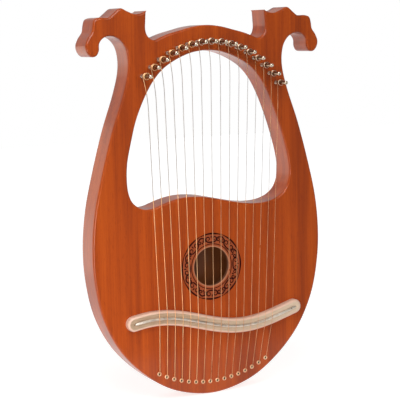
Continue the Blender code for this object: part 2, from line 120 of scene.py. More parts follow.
def new_piece(name, parts, material, body="harp", replaced=()):
    """Joins parts, each (points, faces), into one closed mesh that rides on a body.

    Faces are arrays of three or four corners. Doubles are merged, the normals are turned
    outwards, and an edge between a flat face and a curved one is marked sharp, so that the
    flat face keeps its own normal."""
    points = np.concatenate([p for p, _ in parts])
    offsets = np.cumsum([0] + [len(p) for p, _ in parts])
    corners = np.concatenate([(f + o).ravel() for (_, f), o in zip(parts, offsets)])
    sizes = np.concatenate([np.full(len(f), f.shape[1]) for _, f in parts])
    starts = np.concatenate([[0], np.cumsum(sizes)[:-1]])
    mesh = bpy.data.meshes.new(name)
    mesh.vertices.add(len(points))
    mesh.vertices.foreach_set("co", points.astype(np.float32).ravel())
    mesh.loops.add(len(corners))
    mesh.loops.foreach_set("vertex_index", corners.astype(np.int32))
    mesh.polygons.add(len(sizes))
    mesh.polygons.foreach_set("loop_start", starts.astype(np.int32))
    mesh.update(calc_edges=True)
    shape = bmesh.new()
    shape.from_mesh(mesh)
    bmesh.ops.remove_doubles(shape, verts=shape.verts, dist=MERGE_DISTANCE)
    bmesh.ops.dissolve_degenerate(shape, edges=shape.edges, dist=SLIVER)
    bmesh.ops.recalc_face_normals(shape, faces=shape.faces)
    shape.to_mesh(mesh)
    shape.free()
    mesh.shade_smooth()
    mesh.set_sharp_from_angle(angle=np.radians(SHARP_ANGLE))
    mark_flat_borders(mesh)
    mesh.materials.append(material)
    piece = bpy.data.objects.new(name, mesh)
    bpy.context.scene.collection.objects.link(piece)
    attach(piece, body)
    if replaced:
        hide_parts(*replaced)
    return piece


def vertex_places(piece):
    """A piece's vertices, as an array of points."""
    places = np.zeros(len(piece.data.vertices) * 3, np.float32)
    piece.data.vertices.foreach_get("co", places)
    return places.reshape(-1, 3)


def give_values(piece, name, values):
    """Stores a number for each vertex, for a material to read."""
    layer = piece.data.attributes.new(name, "FLOAT", "POINT")
    layer.data.foreach_set("value", np.asarray(values, np.float32))


def mark_flat_borders(mesh):
    """Marks as sharp each edge with one face square to the Y axis and one that isn't."""
    normals = np.zeros(len(mesh.polygons) * 3, np.float32)
    mesh.polygons.foreach_get("normal", normals)
    flat = np.abs(normals.reshape(-1, 3)[:, 1]) > 0.99999
    totals = np.zeros(len(mesh.polygons), np.int32)
    mesh.polygons.foreach_get("loop_total", totals)
    edges = np.zeros(len(mesh.loops), np.int32)
    mesh.loops.foreach_get("edge_index", edges)
    flat_sides = np.bincount(edges, np.repeat(flat, totals), len(mesh.edges))
    sharp = np.zeros(len(mesh.edges), bool)
    mesh.edges.foreach_get("use_edge_sharp", sharp)
    mesh.edges.foreach_set("use_edge_sharp", sharp | (flat_sides == 1))


def grid_faces(rows, columns, closed):
    """Quads between the points of a grid; a closed grid also joins its last column to its first."""
    row, column = np.mgrid[0 : rows - 1, 0 : columns if closed else columns - 1]
    following = (column + 1) % columns
    first, second = row * columns, (row + 1) * columns
    quads = [first + column, first + following, second + following, second + column]
    return np.stack(quads, -1).reshape(-1, 4)


# %% [markdown]
# ## Mahogany under satin varnish
#
# The body is mahogany: straight grain that runs from tail to horns, warm bands some 15 mm wide,
# finer streaks about a millimetre wide, and short open pores. Noise that is stretched along the
# grain makes all three. The varnish is a thin clear coat, which is why the side walls, seen at a
# glancing angle, go pale. The pores are about 0.15 mm wide on real wood, too fine for a small
# picture, so they are drawn at 0.4 mm. A shift across the grain picks the stretch of noise that
# the boards are cut from.

# %% The body's wood
GRAIN_SHIFT = 11.0
BAND_STRETCH = 26
STREAK_STRETCH = 70
STREAK_SHARE = 0.45
PORE_WIDTH_MM, PORE_LENGTH_MM = 0.4, 6.0
PORE_DARKNESS = 0.22
SOUND_HOLE_RADIUS = 20.8 * MM
ORIGIN_HEIGHT = 118 * MM
SOUND_HOLE_CENTRE = 138.6 * MM - ORIGIN_HEIGHT


def wood(name, stops, band_mm, streak_mm, pore_depth):
    """Varnished wood with its grain along Z: bands, streaks and pores, each a stretched noise."""
    material, tree, shader = new_material(name)
    place = add_node(tree, "ShaderNodeTexCoord").outputs["Object"]

    def stretched(width_mm, length_mm, detail):
        scale = (1 / (width_mm * MM), 1 / (width_mm * MM), 1 / (length_mm * MM))
        mapped = add_node(
            tree, "ShaderNodeMapping", None,
            {"Vector": place, "Location": (GRAIN_SHIFT, 0, 0), "Scale": scale},
        )
        return add_node(
            tree, "ShaderNodeTexNoise", None,
            {"Vector": mapped.outputs["Vector"], "Scale": 1.0, "Detail": detail},
        ).outputs["Fac"]

    bands = stretched(band_mm, band_mm * BAND_STRETCH, 3.0)
    streaks = stretched(streak_mm, streak_mm * STREAK_STRETCH, 2.0)
    pores = stretched(PORE_WIDTH_MM, PORE_LENGTH_MM, 1.0)
    tone = add_node(
        tree, "ShaderNodeMath", {"operation": "MULTIPLY_ADD"},
        {0: streaks, 1: STREAK_SHARE, 2: bands},
    ).outputs[0]
    pore_mask = mapped_range(tree, pores, (0.62, 0.74), (0.0, PORE_DARKNESS))
    level = add_node(
        tree, "ShaderNodeMath", {"operation": "SUBTRACT"}, {0: tone, 1: pore_mask},
    ).outputs[0]
    centred = mapped_range(tree, level, (0.42, 1.02), (0.0, 1.0))
    colour = add_node(
        tree, "ShaderNodeValToRGB", None, {"Fac": centred}, stops,
    ).outputs["Color"]
    bump = add_node(
        tree, "ShaderNodeBump", {"invert": True},
        {"Height": pore_mask, "Distance": pore_depth * MM, "Strength": 0.35},
    )
    tree.links.new(colour, shader.inputs["Base Color"])
    tree.links.new(bump.outputs["Normal"], shader.inputs["Normal"])
    return material, tree, shader, place, colour


def varnish(shader):
    """Satin varnish: weak, broad gloss from the wood below a thin, clearer coat."""
    shader.inputs["Roughness"].default_value = 0.45
    shader.inputs["Specular IOR Level"].default_value = 0.12
    shader.inputs["Coat Weight"].default_value = 0.7
    shader.inputs["Coat Roughness"].default_value = 0.16


MAHOGANY_STOPS = ((0.0, "#813008"), (0.35, "#983B05"), (0.6, "#A84406"), (1.0, "#B9520C"))
MAHOGANY = (MAHOGANY_STOPS, 15, 1.1, 0.05)
mahogany, _, shader, _, _ = wood("varnished_mahogany", *MAHOGANY)
varnish(shader)

# %% [markdown]
# ## The band round the sound hole
#
# The ring of ornament is burnt into the wood after the stain, and the band that it stands on
# is a shade greyer than the rest, with a paler rim at the hole. The same mahogany is made once
# more for the front board, and its colour is mixed towards those shades by the distance from
# the hole's centre. The hole's own wall, behind the front face, is dark.

# %% The front board's wood
BAND_OUTER = 35.6 * MM
RIM_OUTER = 22.5 * MM
WALL_OUTER = 21.5 * MM
WALL_FRONT = -28.7 * MM
BAND_SHARE, RIM_SHARE, WALL_SHARE = 0.62, 0.5, 0.85
front_wood, tree, shader, place, colour = wood("engraved_mahogany", *MAHOGANY)
varnish(shader)
flattened = add_node(
    tree, "ShaderNodeVectorMath", {"operation": "MULTIPLY"}, {0: place, 1: (1.0, 0.0, 1.0)},
).outputs["Vector"]
distance = add_node(
    tree, "ShaderNodeVectorMath", {"operation": "DISTANCE"},
    {0: flattened, 1: (0.0, 0.0, SOUND_HOLE_CENTRE)},
).outputs["Value"]
band_span, rim_span = (BAND_OUTER, BAND_OUTER - 1.2 * MM), (RIM_OUTER, RIM_OUTER - 0.5 * MM)
band = mapped_range(tree, distance, band_span, (0.0, BAND_SHARE), smooth=True)
in_rim = mapped_range(tree, distance, rim_span, (0.0, RIM_SHARE), smooth=True)
in_hole = mapped_range(tree, distance, (WALL_OUTER, WALL_OUTER - 0.2 * MM), (0.0, WALL_SHARE))
depth = along_axis(tree, place, "Y")
behind = mapped_range(tree, depth, (WALL_FRONT, WALL_FRONT + 0.4 * MM), (0.0, 1.0))
hole_wall = add_node(
    tree, "ShaderNodeMath", {"operation": "MULTIPLY"}, {0: in_hole, 1: behind},
).outputs["Value"]
for share, shade in ((band, "#944C2E"), (in_rim, "#B68664"), (hole_wall, "#54301F")):
    colour = mixed_colour(tree, share, colour, shade)
tree.links.new(colour, shader.inputs["Base Color"])

# %% [markdown]
# ## The inside of the box
#
# The back panel's face inside the sound chamber is painted dark: painted shade of the closed box.
# The back panel is one piece with a varnished outside, so its colour changes between two
# depths, just behind its inner face.

# %% The back panel's wood
INNER_FACE = -4.0 * MM
INNER_SHADE_SHARE = 0.75
back_wood, tree, shader, place, colour = wood("mahogany_with_painted_inner_shade", *MAHOGANY)
varnish(shader)
depth = along_axis(tree, place, "Y")
# Behind the inner face the colour is mixed towards a dark tone: painted shade of the closed box.
inner_shade = mapped_range(tree, depth, (INNER_FACE, INNER_FACE - 0.1 * MM), (0.0, INNER_SHADE_SHARE))
tree.links.new(mixed_colour(tree, inner_shade, colour, "#383120"), shader.inputs["Base Color"])

# %% [markdown]
# ## The other finishes
#
# Burnt lines are matt char. The bridge is pale, dense wood; the rounding of its rim is painted
# paler, a painted sheen, and it is painted lighter towards its right end, as painted light. The rod
# is nickel silver, the pins are nickel-plated steel, the six thick strings are wound with bronze
# and the thin ones are plain steel. A metal's colour is its reflection, so each metal has a bright
# base colour and gets its character from roughness. Vertex values mark painted shade and painted
# reflection: painted shade on the round shaft of a pin and in the bore of an eyelet and of a
# string, and a greyer painted reflection of the white backdrop on a string's free length.

# %% Char, bridge wood and metals
def metal(name, colour, roughness, streak_mm, marks=()):
    """A metal whose roughness varies a little in patches.

    Each mark is a vertex attribute and the colour that it mixes in."""
    material, tree, shader = new_material(name)
    place = add_node(tree, "ShaderNodeTexCoord").outputs["Object"]
    patches = add_node(
        tree, "ShaderNodeTexNoise", None,
        {"Vector": place, "Scale": 1 / (streak_mm * MM), "Detail": 3.0},
    ).outputs["Fac"]
    varied = mapped_range(tree, patches, (0.3, 0.7), (roughness * 0.7, roughness * 1.4))
    dull, bright = colour
    tint = add_node(
        tree, "ShaderNodeValToRGB", None, {"Fac": patches}, ((0.35, dull), (0.65, bright)),
    ).outputs["Color"]
    for attribute, shade in marks:
        share = add_node(tree, "ShaderNodeAttribute", {"attribute_name": attribute}).outputs["Fac"]
        tint = mixed_colour(tree, share, tint, shade)
    tree.links.new(tint, shader.inputs["Base Color"])
    tree.links.new(varied, shader.inputs["Roughness"])
    shader.inputs["Metallic"].default_value = 1.0
    return material


# The mark on a pin's round shaft darkens it: painted shade, for the dark room the metal mirrors.
nickel_plate = metal(
    "nickel_plated_steel", ("#CEC0AA", "#F8EAD6"), 0.2, 1.5, [("shaft", "#8E7C68")],
)
nickel_silver = metal("brushed_nickel_silver", ("#DCD2C4", "#F8F0E6"), 0.38, 4)
# On a string, the first mark greys the wire where the open window is behind it: painted reflection
# of the white backdrop.
string_marks = [("free", "#A8ACAE"), ("deep", "#1C120C")]
# The second mark darkens the wire inside an eyelet's bore: painted shade.
wound_wire = metal("bronze_wound_wire", ("#FABA84", "#FFD8A4"), 0.42, 12, string_marks)
steel_wire = metal("drawn_steel_wire", ("#CC986C", "#ECBC90"), 0.38, 12, string_marks)
polished_steel = metal("polished_steel_wire", ("#D8C4AC", "#FAE6CE"), 0.26, 1)
# The eyelet's bore is painted dark: painted shade inside the hole.
eyelet_brass = metal("pressed_brass", ("#F2BE92", "#FFE2BC"), 0.34, 1.2, [("deep", "#2C1A0E")])

char, tree, shader = new_material("burnt_line")
place = add_node(tree, "ShaderNodeTexCoord").outputs["Object"]
soot = add_node(
    tree, "ShaderNodeTexNoise", None, {"Vector": place, "Scale": 1 / (0.9 * MM), "Detail": 3.0},
).outputs["Fac"]
burn = add_node(
    tree, "ShaderNodeValToRGB", None, {"Fac": soot}, ((0.3, "#180301"), (0.7, "#340803")),
).outputs["Color"]
tree.links.new(burn, shader.inputs["Base Color"])
shader.inputs["Roughness"].default_value = 0.8
shader.inputs["Specular IOR Level"].default_value = 0.1

pale_wood, tree, shader = new_material("bleached_maple")
place = add_node(tree, "ShaderNodeTexCoord").outputs["Object"]
scale = (1 / (9 * MM), 1 / (0.8 * MM), 1 / (0.8 * MM))
mapped = add_node(tree, "ShaderNodeMapping", None, {"Vector": place, "Scale": scale})
grain = add_node(
    tree, "ShaderNodeTexNoise", None,
    {"Vector": mapped.outputs["Vector"], "Scale": 1.0, "Detail": 4.0},
).outputs["Fac"]
field = add_node(
    tree, "ShaderNodeValToRGB", None, {"Fac": grain}, ((0.3, "#9A8168"), (0.7, "#BA9E84")),
).outputs["Color"]
# The bridge is painted lighter towards its right end: painted light.
painted_light_to_right = mapped_range(tree, along_axis(tree, place, "X"), (-40 * MM, 100 * MM), (0.0, 0.6))
# The rounding of the rim is painted paler: a painted sheen.
rim = add_node(tree, "ShaderNodeAttribute", {"attribute_name": "rim"}).outputs["Fac"]
for share, shade in ((painted_light_to_right, "#EBD6BE"), (rim, "#DCB8A4")):
    field = mixed_colour(tree, share, field, shade)
tree.links.new(field, shader.inputs["Base Color"])
shader.inputs["Roughness"].default_value = 0.34
shader.inputs["Coat Weight"].default_value = 0.3

spruce, _, shader, _, _ = wood(
    "planed_spruce", ((0.0, "#9A7440"), (0.5, "#C29A62"), (1.0, "#DDBB85")), 6, 1.2, 0.02,
)
shader.inputs["Roughness"].default_value = 0.65
for name in ("upper_brace", "lower_brace"):
    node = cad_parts[name]
    node.data.materials.clear()
    node.data.materials.append(spruce)

# %% [markdown]
# ## The outline
#
# The body has one outline, a rounded bout that narrows into two arms with scroll-shaped horns,
# and a window between the arms whose foot is a wave. Both are smooth closed curves through a
# few chosen points. A Catmull-Rom curve passes through every point; its centripetal form never
# loops or overshoots, even where the points crowd together in the horns.

# %% Smooth closed curves
def smooth_loop(points, steps):
    """A closed centripetal Catmull-Rom curve through points in millimetres, as metres.

    Each span mixes six straight lines between its four neighbouring points; the knots are the
    square roots of the distances. A third value marks a point where the curve has a corner."""
    start = np.array([p[:2] for p in points], float)
    corner = np.array([len(p) > 2 for p in points])
    end = np.roll(start, -1, axis=0)
    before = np.where(corner[:, None], 2 * start - end, np.roll(start, 1, axis=0))
    after = np.where(np.roll(corner, -1)[:, None], 2 * end - start, np.roll(start, -2, axis=0))
    knots = [np.zeros(len(start))]
    for a, b in ((before, start), (start, end), (end, after)):
        knots.append(knots[-1] + np.sqrt(np.linalg.norm(b - a, axis=1)))
    t0, t1, t2, t3 = (k[:, None, None] for k in knots)
    t = t1 + (t2 - t1) * (np.arange(steps) / steps)[None, :, None]

    def between(a, b, t_a, t_b):
        return (a * (t_b - t) + b * (t - t_a)) / (t_b - t_a)

    p0, p1, p2, p3 = (p[:, None] for p in (before, start, end, after))
    low, middle, high = between(p0, p1, t0, t1), between(p1, p2, t1, t2), between(p2, p3, t2, t3)
    first, second = between(low, middle, t0, t2), between(middle, high, t1, t3)
    curve = between(first, second, t1, t2).reshape(-1, 2)
    return curve * MM - (0, ORIGIN_HEIGHT)


def circle(centre, radius, sides):
    """Points round a circle, anticlockwise."""
    angle = 2 * np.pi * np.arange(sides) / sides
    return np.array(centre) + radius * np.stack([np.cos(angle), np.sin(angle)], -1)


RIGHT_HALF = (
    (0, 0), (44.5, 8.8), (77.5, 28.5), (107, 58.5), (126, 95), (134.6, 135), (136, 168),
    (132.3, 205), (123.5, 243), (110.5, 288), (97.6, 324), (91.8, 346), (91.2, 360),
    (94.4, 373), (101.6, 381), (109.7, 383.6), (117.2, 381.8), (121.8, 376.6), (122.6, 368.8),
    (125.8, 364), (131.2, 363.4), (135.6, 367.8), (137.1, 374), (134.4, 381.4), (129.8, 388),
    (128.6, 394.6), (126.4, 400.4), (120.6, 402.3), (111.4, 402.3), (106, 406), (98.2, 411.3),
    (90.4, 408.3), (82.8, 405.5), (75.8, 406), (69.6, 408.5, "corner"), (70.4, 398),
    (70.6, 389.2), (68.2, 383), (61.8, 379), (53.6, 381.8), (44.4, 385), (31, 388.4),
    (16.5, 391.8), (0, 393.4),
)
LEFT_HALF = tuple((-p[0], *p[1:]) for p in reversed(RIGHT_HALF[1:-1]))
WINDOW = (
    (0, 367.2), (-15, 365.8), (-28.5, 361.8), (-41, 356), (-51.8, 349), (-62.3, 338.2),
    (-72.8, 321.8), (-83.6, 298), (-90.3, 274), (-94.6, 254.6), (-95.6, 238), (-94.2, 224),
    (-90.4, 214.6), (-84, 208.8), (-75.8, 205.6), (-67, 206), (-58.5, 208.6), (-48, 211.8),
    (-36.5, 214.1), (-25, 214.9), (-7, 213.6), (8, 210.6), (24.7, 206.8), (40.3, 203.6),
    (56.1, 202), (71.5, 202.9), (84.3, 207.2), (93, 214.3), (97.8, 224.8), (98.8, 236),
    (97.4, 249), (92.6, 268), (84.8, 292), (72.4, 321.6), (62.2, 338.3), (51.8, 349),
    (41, 356), (28.5, 361.8), (15, 365.8),
)
CHAMBER_RIGHT = (
    (0, 40), (45, 46), (78, 62), (102, 86), (115, 114), (121.5, 142), (123, 167),
    (117, 185), (100, 190.5), (50, 190), (0, 190.5),
)
CHAMBER_LEFT = tuple((-x, z) for x, z in reversed(CHAMBER_RIGHT[1:-1]))
outline = smooth_loop(RIGHT_HALF + LEFT_HALF, 7)
window = smooth_loop(WINDOW, 6)
chamber = smooth_loop(CHAMBER_RIGHT + CHAMBER_LEFT, 6)
print(f"outline of {len(outline)} points, {np.ptp(outline[:, 0]) / MM:.1f} mm wide")

# %% [markdown]
# ## Where the strings end
#
# Sixteen eyelets lie on a shallow arc near the tail, and sixteen pins on an arch in the
# crossbar. Both rows are worked out here once, as arrays, and every later piece uses them.

# %% Rows of eyelets and pins
COUNT = 16
EYELET_ARC = 136 * MM
EYELET_SPACING = 8.65 * MM
LOWEST_EYELET = 13.6 * MM - ORIGIN_HEIGHT
ARCH_CENTRE = (-1.8 * MM, 237 * MM - ORIGIN_HEIGHT)
ARCH_HALF_SPAN, ARCH_RISE = 114.2 * MM, 139.6 * MM
from_middle = np.arange(COUNT) - (COUNT - 1) / 2
eyelet_x = from_middle * EYELET_SPACING
eyelet_z = LOWEST_EYELET + EYELET_ARC - np.sqrt(EYELET_ARC**2 - eyelet_x**2)
eyelets = np.stack([eyelet_x, eyelet_z], -1)
arch_angle = np.radians(np.linspace(130.8, 42.3, COUNT))
pin_x = ARCH_CENTRE[0] + ARCH_HALF_SPAN * np.cos(arch_angle)
pin_z = ARCH_CENTRE[1] + ARCH_RISE * np.sin(arch_angle)
pins = np.stack([pin_x, pin_z], -1)
string_radius = np.linspace(0.7, 0.4, COUNT) * MM / 2
BODY_THICKNESS = 29 * MM
FRONT = -BODY_THICKNESS

# %% [markdown]
# ## Boards as profiles carried along their edges
#
# Each board is a wall that follows every edge of the board, closed by a flat face at the front
# and at the back. The wall's profile is a list of steps, each an inset from the edge and a depth,
# so a quarter circle of them rounds the edge over, as a router does. The flat faces are filled
# between the innermost edges with a constrained triangulation, and the triangles that
# fall inside a hole are dropped.
#
# Beside a sharp corner, as at the tip of each horn, an inset grows from nothing by a slope, or it
# would cross itself. The sides of a horn's tip, 64 degrees apart, would meet at a slope of 0.62.

# %% The board function
SHARP_TURN = np.radians(60)
CORNER_SLOPE = 0.5


def inset(loop, distance, hole):
    """The loop moved into the wood along its normals by a distance, or by less near a corner."""
    before = loop - np.roll(loop, 1, axis=0)
    after = np.roll(before, -1, axis=0)
    crossed = before[:, 0] * after[:, 1] - before[:, 1] * after[:, 0]
    turn = np.abs(np.arctan2(crossed, np.sum(before * after, axis=1)))
    corners = loop[turn > SHARP_TURN]
    if len(corners):
        reach = np.linalg.norm(loop[:, None] - corners[None], axis=2).min(axis=1)
        distance = np.minimum(distance, CORNER_SLOPE * reach)[:, None]
    ahead = before + after
    ahead /= np.linalg.norm(ahead, axis=1, keepdims=True)
    following = np.roll(loop, -1, axis=0)
    area = np.sum(loop[:, 0] * following[:, 1] - following[:, 0] * loop[:, 1])
    side = np.sign(area) * (-1 if hole else 1)
    return loop + np.stack([-ahead[:, 1], ahead[:, 0]], -1) * distance * side


def inside(points, loops):
    """True for each point that an odd number of the loops' edges lie to the right of."""
    odd = np.zeros(len(points), bool)
    for loop in loops:
        a, b = loop[None], np.roll(loop, -1, axis=0)[None]
        x, z = points[:, :1], points[:, 1:]
        spans = (a[..., 1] > z) != (b[..., 1] > z)
        rise = np.where(spans, b[..., 1] - a[..., 1], 1)
        crossing = a[..., 0] + (z - a[..., 1]) / rise * (b[..., 0] - a[..., 0])
        odd ^= (np.sum(spans & (crossing > x), axis=1) % 2).astype(bool)
    return odd


def flat_face(loops, y):
    """A flat face between the loops, at a depth: (points, triangles)."""
    points = np.concatenate(loops)
    edges = []
    first = 0
    for loop in loops:
        index = first + np.arange(len(loop))
        edges += np.stack([index, np.roll(index, -1)], -1).tolist()
        first += len(loop)
    filled = geometry.delaunay_2d_cdt([Vector(p) for p in points], edges, [], 0, 1e-9)
    places = np.array([tuple(p) for p in filled[0]])
    triangles = np.array(filled[2])
    triangles = triangles[inside(places[triangles].mean(axis=1), loops)]
    return np.stack([places[:, 0], np.full(len(places), y), places[:, 1]], -1), triangles


def board(edges, back, front, back_round, front_round):
    """A board between two depths: a wall round each edge, and a flat face at each end.

    Each edge is (loop, is it a hole, its share of the rounding). The rounding's
    profile is a quarter circle: inset r (1 - cos a) at depth r (1 - sin a) from the face."""
    parts = []
    back_loops, front_loops = [], []
    quarter = np.linspace(np.pi / 2, 0, 6)
    ends = ((back, back_round, -1, quarter), (front, front_round, 1, quarter[::-1]))
    for loop, hole, share in edges:
        profile = []
        for face, rounding, inwards, turn in ends:
            r = rounding * share
            angles = turn if r > 0 else quarter[-1:]
            profile += [(r * (1 - np.cos(a)), face + inwards * r * (1 - np.sin(a))) for a in angles]
        rings = [(inset(loop, distance, hole), y) for distance, y in profile]
        points = [np.stack([r[:, 0], np.full(len(r), y), r[:, 1]], -1) for r, y in rings]
        parts.append((np.concatenate(points), grid_faces(len(rings), len(loop), True)))
        back_loops.append(rings[0][0])
        front_loops.append(rings[-1][0])
    return [*parts, flat_face(back_loops, back), flat_face(front_loops, front)]


# %% [markdown]
# ## Front board, core and back board
#
# The real body is a thick core between two thin boards, glued and varnished as one, so no
# seam shows. The boards meet face to face here, and only the two outer corners are rounded. The
# front board is pierced for the sound hole, the pins and the eyelets; the core for the sound
# chamber; the back board for the ball ends of the strings.

# %% The three boards
BOARD = 4.15 * MM
EDGE_ROUND = 2.0 * MM
PIN_HOLE_RADIUS = 2.25 * MM
BARREL_HOLE_RADIUS = 1.6 * MM
STRING_HOLE_RADIUS = 1.3 * MM
BALL_HOLE_RADIUS = 2.5 * MM
sound_hole = circle((0, SOUND_HOLE_CENTRE), SOUND_HOLE_RADIUS, 96)
pin_holes = [circle(pin, PIN_HOLE_RADIUS, 24) for pin in pins]
edges = [(outline, False, 1.0), (window, True, 1.0)]
front_edges = [
    *edges, (sound_hole, True, 0.3),
    *[(hole, True, 0.06) for hole in pin_holes],
    *[(circle(place, BARREL_HOLE_RADIUS, 20), True, 0.0) for place in eyelets],
]
front_board = new_piece(
    "front_board", board(front_edges, FRONT + BOARD, FRONT, 0, EDGE_ROUND),
    front_wood, replaced=["soundboard"],
)
core_edges = [
    *edges, (chamber, True, 0.0),
    *[(hole, True, 0.0) for hole in pin_holes],
    *[(circle(place, STRING_HOLE_RADIUS, 12), True, 0.0) for place in eyelets],
]
core = new_piece(
    "core", board(core_edges, -BOARD, FRONT + BOARD, 0, 0),
    mahogany, replaced=["body_frame"],
)
back_edges = [
    *edges, *[(circle(place, BALL_HOLE_RADIUS, 20), True, 0.15) for place in eyelets],
]
back = new_piece(
    "back_panel", board(back_edges, 0, -BOARD, EDGE_ROUND, 0),
    back_wood, replaced=["back_board"],
)
print("boards:", [len(piece.data.polygons) for piece in (front_board, core, back)])

# %% [markdown]
# ## A tube along a path
#
# Strings, coils and the rod are all one function: a circle of points at each step of a path, at
# that step's radius. The circle needs two directions square to the path. Where the path runs
# across the harp they come from the Y axis, and where it runs through the board, along Y, they
# come from the X axis; at the bend between the two both rules agree.

# %% The tube function
def tube(path, radius, sides):
    """A closed tube: p(s, a) = path(s) + radius(s) (cos a u(s) + sin a v(s)), with end points."""
    path = np.asarray(path)
    radius = np.broadcast_to(radius, len(path))
    ahead = np.gradient(path, axis=0)
    ahead /= np.linalg.norm(ahead, axis=1, keepdims=True)
    through = np.abs(ahead[:, 1:2]) > 0.5
    from_x = np.array((1.0, 0, 0)) - ahead[:, :1] * ahead
    from_y = np.cross((0, 1.0, 0), ahead)
    u = np.where(through, from_x, from_y)
    u /= np.linalg.norm(u, axis=1, keepdims=True)
    v = np.cross(ahead, u)
    angle = 2 * np.pi * np.arange(sides) / sides
    ring = np.cos(angle)[None, :, None] * u[:, None] + np.sin(angle)[None, :, None] * v[:, None]
    points = path[:, None] + ring * radius[:, None, None]
    capped = np.concatenate([
        np.repeat(path[:1], sides, 0), points.reshape(-1, 3), np.repeat(path[-1:], sides, 0),
    ])
    return capped, grid_faces(len(path) + 2, sides, True)


# %% [markdown]
# ## The scroll ring
#
# Round the sound hole runs a ring of paired C-scrolls, an old ornament, between a thin inner
# line and an outer line that swells and thins. Each mark is a flat ribbon of char, a few
# hundredths of a millimetre proud of the wood, whose width changes along its path. A scroll is a
# spiral: its radius shrinks as its angle grows, and its mirror image stands beside it.

# %% Ribbons of char
def ribbon(path, width):
    """A flat strip on the front face: its two edges are the path moved half a width sideways."""
    ahead = np.gradient(path, axis=0)
    ahead /= np.linalg.norm(ahead, axis=1, keepdims=True)
    sideways = np.stack([-ahead[:, 1], ahead[:, 0]], -1) * (width / 2)[:, None]
    left, right = path + sideways, path - sideways
    proud, sunk = FRONT - 0.05 * MM, FRONT + 0.05 * MM
    corners = ((left, sunk), (left, proud), (right, proud), (right, sunk))
    points = np.stack([np.stack([e[:, 0], np.full(len(e), y), e[:, 1]], -1) for e, y in corners], 1)
    ends = [points[:1, [0, 0, 3, 3]], points, points[-1:, [0, 0, 3, 3]]]
    return np.concatenate(ends).reshape(-1, 3), grid_faces(len(path) + 2, 4, True)


def polar(radius, angle):
    """Places at a radius and an angle from the sound hole's centre."""
    return np.stack([radius * np.cos(angle), SOUND_HOLE_CENTRE + radius * np.sin(angle)], -1)


def on_band(across, outward, axis):
    """Places on the band: a distance round from an axis, and a distance out from mid-band."""
    return polar(BAND_MIDDLE + outward, axis + across / BAND_MIDDLE)


def horn(axis, spread, reach, foot, flip):
    """Two mirrored spirals joined by a bow: half a path, then its mirror image.

    The spiral's radius falls by a power of its angle, from reach to a quarter of it; the bow is a
    Bezier curve from the middle of the band's edge to where the spiral starts."""
    share = np.linspace(0, 1, 40)
    angle = np.radians(-100 + 430 * share)
    radius = reach * (1 - 0.74 * share**0.85)
    curl = np.stack([spread + radius * np.cos(angle), radius * np.sin(angle)], -1)
    t = np.linspace(0, 1, 10)[:-1, None]
    bow = (1 - t) ** 2 * (0.0, foot) + 2 * t * (1 - t) * (spread * 0.5, foot) + t**2 * curl[0]
    half = np.concatenate([bow, curl])
    path = np.concatenate([half[:0:-1] * (-1, 1), half]) * (1, -1 if flip else 1)
    along = np.abs(np.linspace(-1, 1, len(path)))
    return on_band(path[:, 0], path[:, 1], axis), 0.65 * MM + 0.95 * MM * (1 - along**1.8)


BAND_MIDDLE = 29.7 * MM
REPEATS = 8
marks = []
turn = np.linspace(0, 2 * np.pi, 145)
for radius, width in ((24.2, 0.9), (35.5, 0.6)):
    line = polar(np.full(len(turn), radius * MM), turn)
    marks.append(ribbon(line, np.full(len(turn), width * MM)))
share = np.linspace(0, 1, 33)
for k in range(REPEATS):
    axis = np.radians(360 / REPEATS * k)
    between = axis + np.radians(180 / REPEATS)
    swell = polar(np.full(len(share), 35.2 * MM), axis + np.radians(21) * (2 * share - 1))
    marks.append(ribbon(swell, 0.6 * MM + 1.3 * MM * np.sin(np.pi * share)))
    path, width = horn(axis, 3.7 * MM, 3.4 * MM, -3.7 * MM, False)
    marks.append(ribbon(path, width))
    path, width = horn(between, 2.7 * MM, 2.5 * MM, -3.5 * MM, True)
    marks.append(ribbon(path, width))
    for place, length in ((axis, 1.6), (between, -1.5)):
        out = np.linspace(-length, length, 11) * MM
        drop = on_band(np.zeros(11), out + np.sign(length) * 1.9 * MM, place)
        marks.append(ribbon(drop, 0.3 * MM + 1.2 * MM * np.sin(np.linspace(0.1, 2.9, 11))))
new_piece("scroll_ring", marks, char)
print(f"scroll ring of {len(marks)} marks")

# %% [markdown]
# ## The wavy bridge and its rod
#
# The bridge is a strip whose centre line is a sine wave. It is a stack of closed loops, each at
# one distance from that line, so the profile across it, from groove to rim, is one list of
# distances and depths. At distance nought the loop closes onto the line itself, and the round ends
# come by themselves.

# %% Bridge and saddle rod
LEFT_END, RIGHT_END = -94.2 * MM, 100.2 * MM
WAVE = 2 * np.pi / (210 * MM)
WAVE_REACH = 9.7 * MM
WAVE_SHIFT = 15.9 * MM
WAVE_LEVEL = 81.0 * MM - ORIGIN_HEIGHT


def wave_height(x):
    """The height of the bridge's centre line, a sine wave."""
    return WAVE_LEVEL - WAVE_REACH * np.sin(WAVE * (x + WAVE_SHIFT))


def wave_normal(x):
    """The unit normal of that line, pointing up: (-slope, 1) over its length."""
    slope = -WAVE_REACH * WAVE * np.cos(WAVE * (x + WAVE_SHIFT))
    normal = np.stack([-slope, np.ones_like(slope)], -1)
    return normal / np.linalg.norm(normal, axis=-1, keepdims=True)


def round_wave(distance):
    """The loop at a distance from the centre line: one side, an end, the other side, an end."""
    x = np.linspace(LEFT_END, RIGHT_END, 97)
    line = np.stack([x, wave_height(x)], -1)
    side = wave_normal(x)
    half_turn = np.linspace(0, np.pi, 18)[1:-1]
    loops = []
    for points, normals in ((line, -side), (line[::-1], side[::-1])):
        last = np.arctan2(normals[-1, 1], normals[-1, 0])
        arc = np.stack([np.cos(last + half_turn), np.sin(last + half_turn)], -1)
        loops += [points + normals * distance, points[-1] + arc * distance]
    return np.concatenate(loops)


